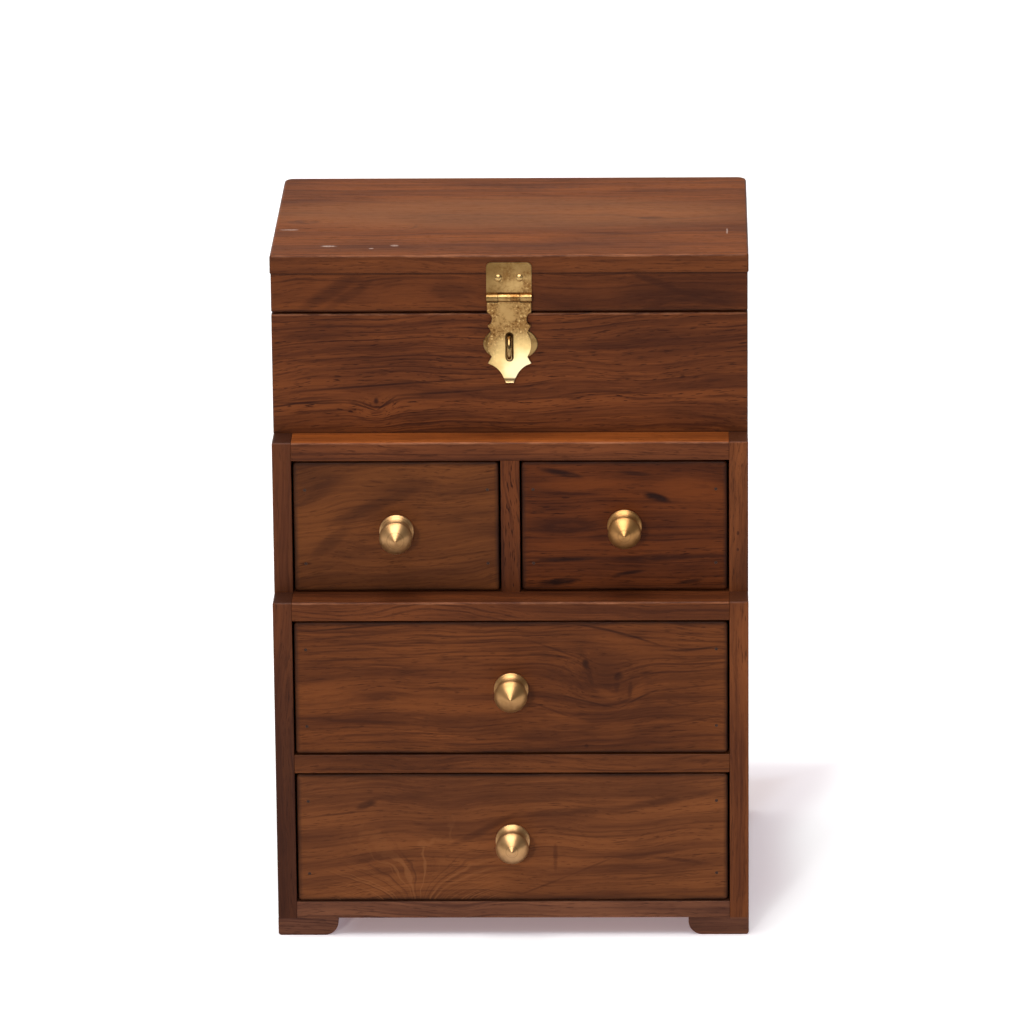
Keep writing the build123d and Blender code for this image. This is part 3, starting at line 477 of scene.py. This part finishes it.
def filed(node, body, finish, width):
    """A smooth copy of a CAD node in its place, its sharp edges rounded over by this width."""
    mesh = bmesh.new()
    mesh.from_mesh(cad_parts[node].data)
    bmesh.ops.remove_doubles(mesh, verts=mesh.verts, dist=2e-6)
    bmesh.ops.dissolve_limit(mesh, angle_limit=math.radians(0.6), verts=mesh.verts, edges=mesh.edges)
    round_over(mesh, width)
    fit_over(mesh, node + "_filed", node, body, finish)


def shade_behind_strap(place, patch, colour):
    """Painted shade: dark behind the strap's slot, where the strap shades the plate."""
    return (place.parts()[0].math("ABSOLUTE").ramp(0.008, 0.005) * 0.85).between(colour, OIL_DARK_AND_SHADE)


STAPLE_PLATE_BRASS = sheet_brass(
    "staple_plate_brass", 5.0, (0.0, 0.25), dull=tone(98, 68, 34), wear=shade_behind_strap
)
STAPLE_BRASS = sheet_brass("staple_brass", 9.0, (0.1, 0.3), dull=STAINED, rough=0.16)
filed("staple_plate", "case", STAPLE_PLATE_BRASS, PLATE_EDGE)
filed("staple", "case", STAPLE_BRASS, WIRE_EDGE)

# Lid: a flat board glued over a frame of four rails, its top tinted paler than the case with painted light
# and sheen from above.
# A few pale scratches and dark flecks mark the top.
LID_BAND = ((0, 4, 170, 42),)
LID_SCRATCHES = (
    (-117.5, -30, 6, 1.2),
    (-95, -65.5, 5, 1.8),
    (-72.5, -70.5, 1.6, 1.2),
    (-60.5, -64.5, 2.6, 2.2),
    (114.5, -36, 0.6, 7),
)
LID_FLECKS = (
    (-110.5, -13.3, 11, 6),
    (74, -6.4, 9, 4),
    (18, 61.6, 30, 3.5),
)


def lid_marks(local, along, depth, across, colour):
    """A paler middle band, scratches and flecks on top of the lid, in millimetres from its middle."""
    broken = local.noise(900.0, 900.0, 3.0, 2.0).ramp(0.35, 0.6)
    ragged = local.noise(180.0, 420.0, 7.0, 2.0).ramp(0.3, 0.65)
    above = across.ramp(0.0, 0.002)
    for mark_tone, marks, breakup, amount in (
        (tone(168, 106, 62), LID_BAND, ragged * 0.3 + 0.7, 0.5),
        (tone(214, 184, 168), LID_SCRATCHES, broken * 0.6 + 0.4, 0.85),
        (tone(82, 42, 25), LID_FLECKS, ragged, 0.6),
    ):
        for mark in marks:
            spot = from_middle(along, depth, *mark).ramp(1.0, 0.2) * above * breakup * amount
            colour = spot.between(colour, mark_tone)
    return colour


wood(
    "lid_top_board",
    oiled(90, 46, 22),
    seed=71.0,
    pith=(-0.02, -0.06),
    wander=0.02,
    lines=0.5,
    up=(1.88, 1.68, 0.9),
    wear_and_highlight=0.0016,
    grime_and_shade=((2, -1, 0.0008, 0.6),),
    gloss=0.04,
    marks=lid_marks,
)
wood(
    "lid_front_rail",
    oiled(85, 42, 19),
    seed=73.0,
    pith=(0.04, 0.22),
    figure=(
        ("dark", -94, 0.3, 19, 5, 0.6, 0, 0.6),
        ("dark", -83, -1, 16, 3.5, 0.6, 0, 0.5),
        ("pale", -103, 1, 12, 5, 0.5, 0, 0.35),
        ("pale", -58, -2, 20, 7, 0.1, 0, 0.45),
        ("dark", -30, 0.7, 15, 7, -0.1, 0, 0.5),
        ("pale", 51, 3, 17, 7, 0, 0, 0.35),
        ("dark", 26, -4, 14, 4, -0.2, 0, 0.4),
        ("dark", 77.5, 5.2, 19, 2.6, -0.38, 0, 0.7),
        ("dark", 103, -3.5, 16, 2.6, -0.27, 0, 0.6),
        ("dark", 90, -4, 40, 9, 0, 0, 0.7),
        ("dark", 65, 0, 70, 16, 0, 0, 0.4),
    ),
    # Painted shade along the rail's top and bottom edges, beside the seams.
    grime_and_shade=((2, -1, 0.0016, 0.9), (2, 1, 0.0011, 0.7)),
)
wood("lid_back_rail", oiled(88, 44, 21), seed=79.0, pith=(0.05, 0.2))
wood("lid_left_rail", oiled(88, 44, 21), seed=83.0, pith=(0.05, 0.17), grain="Y")
wood("lid_right_rail", oiled(88, 44, 21), seed=89.0, pith=(0.04, 0.18), grain="Y")

# Hinges: two small butt hinges of pressed brass let into the back edges of case and lid, each
# with a pin and four countersunk screws.
HINGE_BRASS = sheet_brass("hinge_brass", 13.0, (0.0, 0.3))
for hinge_piece in (
    "left_hinge_case_leaf",
    "right_hinge_case_leaf",
    "left_hinge_lid_leaf",
    "right_hinge_lid_leaf",
    "hinge_pins",
    "case_hinge_screws",
    "lid_hinge_screws",
):
    dress(hinge_piece, HINGE_BRASS)

# Hasp: a flat brass plate nailed to the lid, and a strap cut to notches, cusps and a disc that swings on a
# pin between rolled knuckles. The strap is rubbed bright above its lip, with a painted near-white highlight
# there, and painted shade on the bent lip and along its crease.
BROWNED = tone(96, 70, 36)
BURNISHED_HIGHLIGHT = tone(255, 236, 186)
SHEET_EDGE = 0.00018
HASP_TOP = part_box("hasp_plate")[1].z
STRAP_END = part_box("hasp_strap")[0].z
RUB_AND_HIGHLIGHT_SIDE = 0.006
RUB_AND_HIGHLIGHT_HEIGHT = STRAP_END + 0.0079
CREASE_HEIGHT = STRAP_END + 0.0025


def plate_wear(place, patch, colour):
    """Browned toward the plate's top edge and its left side."""
    side, _, over = place.parts()
    top = (over + (patch - 0.5) * 0.008).ramp(HASP_TOP - 0.0121, HASP_TOP - 0.0021)
    colour = (top * 0.6).between(colour, BROWNED)
    return (side.ramp(0.004, -0.012) * 0.65).between(colour, BROWNED)


HASP_PLATE_BRASS = sheet_brass("hasp_plate_brass", 17.0, (0.0, 0.4), 0.6, rough=0.28, wear=plate_wear)
HASP_PIN_BRASS = sheet_brass("hasp_pin_brass", 19.0, (0.0, 0.1), dull=OIL_DARK_AND_SHADE)
HASP_NAIL_BRASS = sheet_brass("hasp_nail_brass", 21.0, (0.3, 0.5))
filed("hasp_plate", "lid", HASP_PLATE_BRASS, SHEET_EDGE)
filed("hasp_pin", "lid", HASP_PIN_BRASS, WIRE_EDGE)
filed("hasp_nails", "lid", HASP_NAIL_BRASS, WIRE_EDGE)


def strap_wear_and_light(place, patch, colour):
    """Bright round the finger's place above the lip, partly rubbed wear and partly a painted highlight,
    with painted shade on the bent lip and a painted shadow line along its crease.
    """
    side, _, over = place.parts()
    beside = side - RUB_AND_HIGHLIGHT_SIDE
    above = over - RUB_AND_HIGHLIGHT_HEIGHT
    reach = (beside * beside + above * above).math("SQRT") + (patch - 0.5) * 0.012
    colour = reach.ramp(0.023, 0.008).between(colour, POLISHED)
    colour = (reach.ramp(0.012, 0.004) * 0.9).between(colour, BURNISHED_HIGHLIGHT)
    colour = (over.ramp(CREASE_HEIGHT + 0.0004, CREASE_HEIGHT - 0.0003) * 0.65).between(colour, TARNISHED)
    return ((over - CREASE_HEIGHT).math("ABSOLUTE").ramp(0.0007, 0.0002) * 0.6).between(colour, STAINED)


STRAP_BRASS = sheet_brass("hasp_strap_brass", 27.0, (0.0, 0.25), 0.95, rough=0.3, wear=strap_wear_and_light)
filed("hasp_strap", "hasp", STRAP_BRASS, SHEET_EDGE)

# Drawer fronts: thick boards with rounded edges, each with its own figure. Their edges are darkened by oil
# that gathers in the gaps round them and by painted shade from those gaps.
wood(
    "left_small_drawer_front",
    oiled(87, 46, 21),
    seed=101.0,
    pith=(0.16, 0.2),
    tilt=0.15,
    wander=0.04,
    lines=0.4,
    figure=(
        ("pale", -19, 22, 24, 10, 0.3, 0, 0.55),
        ("pale", -45, -1, 14, 15, 0.6, 0, 0.45),
        ("pale", 30, -7, 26, 8, 0.0, 0, 0.35),
        ("dark", -12, 11, 27, 4.5, 0.41, 0, 0.6),
        ("dark", -35, -9, 13, 6, 0.8, 0, 0.5),
        ("dark", 30, 3.5, 15, 1.5, 0.0, 0, 0.4),
        ("dark", 0, -32, 70, 7, 0.0, 0, 0.4),
        ("dark", -50, 32, 24, 14, -0.3, 0, 0.4),
        ("pore", -14, 22, 5, 0.5, -0.05, 0, 0.6),
        ("pore", -10, 24.5, 6, 0.5, -0.2, 0, 0.5),
        ("pore", -48, -20.6, 4.5, 0.9, 0.0, 0, 0.7),
    ),
    edge_reach=0.003,
)
wood(
    "right_small_drawer_front",
    oiled(81, 37, 13),
    seed=107.0,
    pith=(0.02, -0.24),
    wander=0.02,
    fibres=0.7,
    pores=0.9,
    figure=(
        ("pale", 36, 19.5, 26, 9, -0.1, 0, 0.95),
        ("pale", -22, 23, 26, 4.5, 0.0, 0, 0.7),
        ("pale", -32, -10, 24, 5, 0.0, 0, 0.55),
        ("pore", -33, 29, 13, 2.2, -0.2, 0, 1.1),
        ("pore", 5, 28.7, 11, 1.8, -0.08, 0, 0.75),
        ("pore", 27, 30, 4, 0.8, 0.0, 0, 0.5),
        ("pore", 16.6, 15.7, 9.5, 2.6, -0.25, 0, 1.2),
        ("dark", -30, 18, 23, 1.3, -0.05, 0, 0.85),
        ("dark", -38, 9, 14, 1.2, 0.0, 0, 0.5),
        ("dark", -32, 0, 24, 5.5, 0.0, 0, 1.0),
        ("dark", -12, -6, 8, 3, 0.0, 0, 0.5),
        ("pore", -30.5, -18.2, 23, 1.5, 0.03, 0, 1.0),
        ("dark", 14, -17.5, 34, 2.6, 0.04, 0, 1.0),
        ("pore", 2.6, -25.5, 10, 1.4, 0.15, 0, 0.95),
        ("pore", -35, -30.6, 14, 2.6, 0.1, 0, 1.1),
        ("pore", 34, -30.4, 9, 1.4, 0.15, 0, 0.8),
    ),
    edge_reach=0.003,
)
wood(
    "upper_wide_drawer_front",
    oiled(91, 47, 22),
    seed=113.0,
    pith=(0.03, 0.24),
    tilt=0.02,
    dips=((50, 0, 20, 16, 9),),
    fibres=0.7,
    pores=0.65,
    figure=(
        ("pale", -99, -5.5, 26, 9, 0.0, 0, 0.6),
        ("pale", -51, -8, 22, 6, 0.05, 0, 0.6),
        ("pale", 29.5, -17, 13, 3, -0.2, 0, 0.55),
        ("pale", 54.6, -24, 14, 6, 0.0, 0, 0.4),
        ("pale", 60, 22, 22, 5, -0.2, 0, 0.4),
        ("pore", -83, 33, 36, 0.8, 0.09, 0, 0.75),
        ("dark", -85, 28, 34, 0.8, 0.09, 0, 0.65),
        ("dark", -78, 24, 36, 0.7, 0.07, 0, 0.6),
        ("dark", -90, 20, 30, 0.7, 0.05, 0, 0.6),
        ("dark", -70, 16, 40, 0.6, 0.04, 0, 0.55),
        ("dark", -92, 11, 26, 0.6, 0.0, 0, 0.55),
        ("dark", -78, -18.5, 40, 1.6, -0.06, 0, 0.75),
        ("dark", -22, -20, 28, 8, -0.05, 0, 0.5),
        ("dark", 13.5, -26, 18, 6, -0.1, 0, 0.5),
        ("pore", 55, 30.5, 33, 0.9, -0.25, -2.6, 0.8),
        ("pore", 94, 21, 21, 0.9, 0.08, 1.8, 0.7),
        ("dark", 24, 20.5, 17, 0.8, -0.36, 0, 0.7),
        ("dark", 86, 8.8, 30, 0.7, 0.03, 0, 0.65),
        ("dark", 100, 15, 20, 0.6, 0.1, 0, 0.5),
        ("dark", 92, 0, 28, 0.6, 0.12, 0, 0.5),
        ("dark", 95, -9, 28, 0.6, 0.16, 0, 0.5),
        ("dark", 98, -18, 26, 0.6, 0.18, 0, 0.5),
        ("dark", 48, 8, 17, 10, 0, 0, 0.35),
        ("dark", 72, -5, 60, 34, 0, 0, 0.35),
        ("pore", 39.3, 13.4, 2.4, 3.4, 0, 0, 0.9),
        ("dark", 41.5, 7.2, 2.6, 5.4, -1.8, 0, 0.7),
        ("pore", 56.5, 6.9, 3.0, 2.6, 0, 0, 0.85),
        ("dark", 55.6, 2, 1.9, 4.6, 0, 0, 0.7),
        ("pale", 50.8, -3, 7, 3.2, -0.4, 0, 0.45),
        ("pale", 67, -1, 5, 5, 0.8, 0, 0.4),
        ("dark", 62.6, -0.6, 1.6, 5.4, 0.9, 0, 0.7),
        ("dark", 60, -6.8, 4.2, 1.2, 0.4, 0, 0.6),
        ("pore", 41, -7.4, 18, 0.8, -0.24, 0, 0.7),
        ("pore", 69, -4.6, 14, 0.8, 0.48, -1, 0.65),
        ("dark", 22, -12.5, 14, 0.8, -0.38, 0, 0.6),
        ("dark", 36, -14.8, 9, 1.2, 0.2, 0, 0.5),
        ("pore", 39.5, -32, 1.4, 1.4, 0, 0, 0.7),
    ),
    edge_reach=0.003,
)


FAN_ALONG = -0.051
FAN_ACROSS = -0.037


def fan_marks(local, along, depth, across, colour):
    """Thin pale and dark streams that rise from a branch at the lower edge and bend over to both sides."""
    out = along - FAN_ALONG
    over = across - FAN_ACROSS
    reach = (out * out + over * over).math("SQRT")
    sway = (local.noise(70.0, 70.0, 3.0, 2.0) - 0.5) * 0.7
    stream = out / (over * over * 55.0 + 0.0065) + sway
    ray = stream.layers(4.6, 9.0, 3.0)
    near = reach.ramp(0.06, 0.02) * (local.noise(60.0, 60.0, 5.0).ramp(0.3, 0.6) * 0.7 + 0.3)
    colour = (ray.ramp(0.54, 0.64) * near * 0.4).between(colour, tone(150, 94, 54))
    return (ray.ramp(0.46, 0.36) * near * 0.45).between(colour, tone(60, 32, 19))


wood(
    "lower_wide_drawer_front",
    oiled(97, 53, 28),
    seed=127.0,
    pith=(0.04, 0.25),
    tilt=0.06,
    lines=0.35,
    fibres=0.4,
    pores=0.5,
    figure=(
        ("pale", 57, 9.7, 32, 4, 0.1, 0, 0.4),
        ("pore", -77, 17.7, 6.5, 2.6, 0.35, 0, 0.8),
        ("dark", -92, 12.5, 14, 0.8, 0.1, 0, 0.6),
        ("dark", -58, 22.5, 24, 2.0, 0.1, 0, 0.5),
        ("dark", -103, 22.5, 14, 1.2, 0.05, 0, 0.5),
        ("dark", -15, 4, 22, 2.8, 0.5, 0, 0.6),
        ("dark", 28, 13.5, 30, 2.8, 0.07, 0, 0.7),
        ("dark", 82, 20.5, 36, 2.8, 0.2, 0, 0.7),
        ("dark", 60, 26, 50, 4, 0.05, 0, 0.35),
        ("dark", 22.6, -11, 1.6, 9, 0.0, 0, 0.55),
        ("dark", 16, -27, 17, 0.8, 0.42, 0, 0.5),
        ("dark", 42, -16, 13, 0.8, 0.42, 0, 0.5),
        ("dark", 72, -9, 22, 1.0, 0.1, 0, 0.5),
        ("dark", 87, -12.5, 21, 1.3, -0.12, 0, 0.6),
        ("dark", 75, -22, 24, 0.8, 0.1, 0, 0.45),
    ),
    edge_reach=0.003,
    marks=fan_marks,
)

# Drawer boxes: plain unoiled sides and backs nailed together, paler than the outside, with a
# thin bottom panel slid into grooves from behind.
RAW = oiled(140, 96, 60)
DRAWERS = ("left_small_drawer", "right_small_drawer", "upper_wide_drawer", "lower_wide_drawer")
for number, drawer in enumerate(DRAWERS):
    seed = 131.0 + 10.0 * number
    wood(drawer + "_left_side", RAW, seed=seed, pith=(0.06, 0.15), grain="Y", lines=0.3, pores=0.3)
    wood(drawer + "_right_side", RAW, seed=seed + 2.0, pith=(0.05, -0.16), grain="Y", lines=0.3, pores=0.3)
    wood(drawer + "_back", RAW, seed=seed + 4.0, pith=(0.07, 0.14), lines=0.3, pores=0.3)
    wood(drawer + "_bottom", oiled(164, 122, 82), seed=seed + 6.0, pith=(0.02, 0.18), lines=0.25, pores=0.2)
    dress(drawer + "_fixings", NAIL_STEEL)

# Knobs: solid brass, turned on a lathe to a flared foot, a neck and a pointed head, and screwed
# on from inside the drawer. Fine tool marks ring the axis.
KNOB_FOOT = Vector((9.1, 0.0))
KNOB_RIM = Vector((9.1, 1.0))
KNOB_NECK = Vector((5.8, 6.4))
KNOB_HEAD = Vector((8.8, 13.2))
KNOB_POINT = Vector((0.0, 21.5))
KNOB_CURVES = (
    (KNOB_RIM, Vector((-1.0, 0.7)), KNOB_NECK, Vector((0.0, 1.0))),
    (KNOB_NECK, Vector((0.0, 1.0)), KNOB_HEAD, Vector((1.0, 0.8))),
    (KNOB_HEAD, Vector((-0.5, 1.0)), KNOB_POINT, Vector((-1.0, 0.75))),
)
KNOB_EDGE = 0.00015
KNOB_CURVE_POINTS = 14
KNOB_TURNS = 96
KNOB_TONES = (tone(184, 142, 95), tone(170, 124, 73), tone(172, 130, 82), tone(184, 142, 95))


def knob_outline():
    """Radius and height in millimetres, from the edge of the foot to the point of the head."""
    points = [KNOB_FOOT, KNOB_RIM]
    for start, leaving, end, arriving in KNOB_CURVES:
        reach = (end - start).length / 3
        handles = (start + leaving.normalized() * reach, end - arriving.normalized() * reach)
        points += interpolate_bezier(start, *handles, end, KNOB_CURVE_POINTS)[1:]
    return points


def turned_brass(name, axis_point, body, seed):
    """Brass with tool marks round the axis through this point, and dull patches."""
    finish, shader, coordinates = new_finish(name, {"Metallic": 0.88})
    place = Wire(finish.node_tree, coordinates.outputs["Object"])
    local = place.node(
        "ShaderNodeMapping", {"vector_type": "TEXTURE"}, {"Vector": place, "Location": axis_point}
    )
    side, out, over = local.parts()
    radius = (side * side + over * over).math("SQRT")
    rings = (radius - out * 0.9).layers(3200.0, seed, 2.0)
    patch = local.noise(120.0, 120.0, seed, 3.0)
    dull = patch.ramp(0.45, 0.75)
    colour = (dull * 0.6).between(body, TARNISHED)
    colour = (rings.ramp(0.58, 0.74) * 0.3).between(colour, STAINED)
    colour.into(shader, "Base Color")
    (0.33 + dull * 0.08 + rings * 0.06).into(shader, "Roughness")
    bump = rings.node("ShaderNodeBump", {}, {"Strength": 0.3, "Distance": 0.0001, "Height": rings})
    bump.into(shader, "Normal")
    return finish


for number, (drawer, body) in enumerate(zip(DRAWERS, KNOB_TONES)):
    low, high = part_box(drawer + "_knob")
    foot_middle = Vector(((low.x + high.x) / 2, high.y, (low.z + high.z) / 2))
    mesh = bmesh.new()
    outline = [mesh.verts.new(foot_middle + Vector((r, -h, 0.0)) / 1000) for r, h in knob_outline()]
    runs = [mesh.edges.new(pair) for pair in zip(outline, outline[1:])]
    bmesh.ops.spin(
        mesh,
        geom=outline + runs,
        cent=foot_middle,
        axis=(0, 1, 0),
        angle=2 * math.pi,
        steps=KNOB_TURNS,
        use_merge=True,
    )
    bmesh.ops.remove_doubles(mesh, verts=mesh.verts, dist=1e-6)
    rim = [e for e in mesh.edges if e.is_boundary]
    bmesh.ops.contextual_create(mesh, geom=rim)
    bmesh.ops.recalc_face_normals(mesh, faces=mesh.faces)
    round_over(mesh, KNOB_EDGE)
    finish = turned_brass(drawer + "_knob_brass", foot_middle, body, 3.0 + 4.0 * number)
    fit_over(mesh, drawer + "_turned_knob", drawer + "_knob", drawer, finish)


# Floor: a plain pale sheet of paper under the chest, white to the camera and to the brass, which keeps the
# soft shadow of the chest. Its glow is dimmer under the chest and close beside it, as a painted shadow.
DIM_LEFT = -0.09
DIM_RIGHT = 0.12
DIM_BACK = 0.17
PAINTED_SHADOW_UNDER_CHEST = (0.205, 0.13, 0.135, 1.0)
PAINTED_SHADOW_BESIDE_CHEST = (0.3, 0.245, 0.27, 1.0)
OPEN_PAPER = (0.52, 0.51, 0.52, 1.0)
FLOOR_HALF = 40.0


def paper():
    """Matt paper with a glow that only the camera, gloss and glass see, dimmed into a painted shadow under
    and beside the chest.
    """
    finish = bpy.data.materials.new("white_paper")
    finish.use_nodes = True
    tree = finish.node_tree
    tree.nodes.clear()
    seen = Wire(tree, tree.nodes.new("ShaderNodeLightPath").outputs["Is Camera Ray"])
    path = seen.socket.node
    for ray in ("Is Glossy Ray", "Is Transmission Ray"):
        seen = seen.math("MAXIMUM", Wire(tree, path.outputs[ray]))
    place = Wire(tree, tree.nodes.new("ShaderNodeTexCoord").outputs["Object"])
    side, front, _ = place.parts()
    # Painted shadow: the glow dims under the chest, and beside it to the right and behind.
    right = side - DIM_RIGHT + front.ramp(0.0, -0.09) * 0.018 - front.ramp(0.06, 0.19) * 0.03
    far = right.math("MAXIMUM", DIM_LEFT - side)
    far = far.math("MAXIMUM", front - DIM_BACK).math("MAXIMUM", front * -4.0 - 0.36)
    white = far.ramp(-0.01, 0.012).between(PAINTED_SHADOW_UNDER_CHEST, PAINTED_SHADOW_BESIDE_CHEST)
    white = far.ramp(0.012, 0.045).between(white, OPEN_PAPER)
    matt = seen.node("ShaderNodeBsdfDiffuse", {}, {"Color": (0.88, 0.87, 0.87, 1.0)})
    glow = seen.node("ShaderNodeEmission", {}, {"Color": seen.between((0.0, 0.0, 0.0, 1.0), white)})
    both = seen.node("ShaderNodeAddShader", {}, {0: matt, 1: glow})
    output = tree.nodes.new("ShaderNodeOutputMaterial")
    both.into(output, "Surface")
    return finish


mesh = bmesh.new()
bmesh.ops.create_grid(mesh, x_segments=1, y_segments=1, size=FLOOR_HALF)
data = bpy.data.meshes.new("floor")
mesh.to_mesh(data)
mesh.free()
data.materials.append(paper())
floor = bpy.data.objects.new("floor", data)
bpy.context.scene.collection.objects.link(floor)

# Studio: a dim room that is paler at the left, with pale walls at eye level, a lamp overhead, a key
# lamp beside the camera, a soft lamp at the left, and a broad panel that only the brass reflects.
world = bpy.data.worlds.new("studio")
world.use_nodes = True
bpy.context.scene.world = world
sky = Wire(world.node_tree, world.node_tree.nodes.new("ShaderNodeTexCoord").outputs["Generated"])
right, _, level = sky.parts()
wall = level.math("ABSOLUTE").ramp(0.16, 0.09)
dim = wall.between((0.14, 0.14, 0.14, 1.0), (0.34, 0.34, 0.34, 1.0))
pale = wall.between((0.4, 0.4, 0.4, 1.0), (1.05, 1.05, 1.05, 1.0))
right.ramp(0.7, -0.5).between(dim, pale).into(world.node_tree.nodes["Background"], "Color")


def lamp(name, kind, place, target, power, **settings):
    """A lamp at this place that points at its target."""
    light = bpy.data.lights.new(name, kind)
    light.energy = power
    for setting, value in settings.items():
        setattr(light, setting, value)
    holder = bpy.data.objects.new(name, light)
    holder.location = place
    holder.rotation_mode = "QUATERNION"
    holder.rotation_quaternion = (Vector(target) - Vector(place)).to_track_quat("-Z", "Y")
    bpy.context.scene.collection.objects.link(holder)
    return holder


high_lamp = lamp("high_lamp", "SUN", (-0.2, -0.15, 3.4), (0.0, 0.0, 0.0), 1.62, angle=math.radians(40.0))
key_lamp = lamp("key_lamp", "AREA", (-0.95, -3.6, 1.05), (0.0, 0.0, 0.2), 49.0, shape="SQUARE", size=0.35)
soft_lamp = lamp("soft_lamp", "AREA", (-1.7, -1.9, 1.0), (0.0, 0.0, 0.2), 3.0, shape="SQUARE", size=2.0)
for matt_light in (high_lamp, key_lamp, soft_lamp):
    matt_light.visible_glossy = False
panel = lamp(
    "panel", "AREA", (-0.5, -1.0, 2.8), (-0.5, -1.0, 0.0), 180.0, shape="RECTANGLE", size=2.7, size_y=3.6
)
panel.visible_diffuse = False

# Camera: a long lens a little above the chest and slightly to its right, as in the photograph.
# It stands about four metres away, so the sides of the chest hardly draw together.
AIM = Vector((-0.0009, 0.0, 0.2065))
DISTANCE = 4.1078
PITCH = math.radians(16.278)
YAW = math.radians(1.362)
ROLL = math.radians(-0.558)
view = bpy.data.cameras.new("camera")
view.sensor_width = 36.0
view.lens = 269.49
view.clip_end = 200.0
forward = Vector((-math.sin(YAW) * math.cos(PITCH), math.cos(YAW) * math.cos(PITCH), -math.sin(PITCH)))
camera = bpy.data.objects.new("camera", view)
camera.rotation_mode = "QUATERNION"
camera.location = AIM - forward * DISTANCE
camera.rotation_quaternion = forward.to_track_quat("-Z", "Y") @ Quaternion((0.0, 0.0, 1.0), ROLL)
bpy.context.scene.collection.objects.link(camera)
bpy.context.scene.camera = camera
bpy.context.scene.view_settings.view_transform = "Standard"
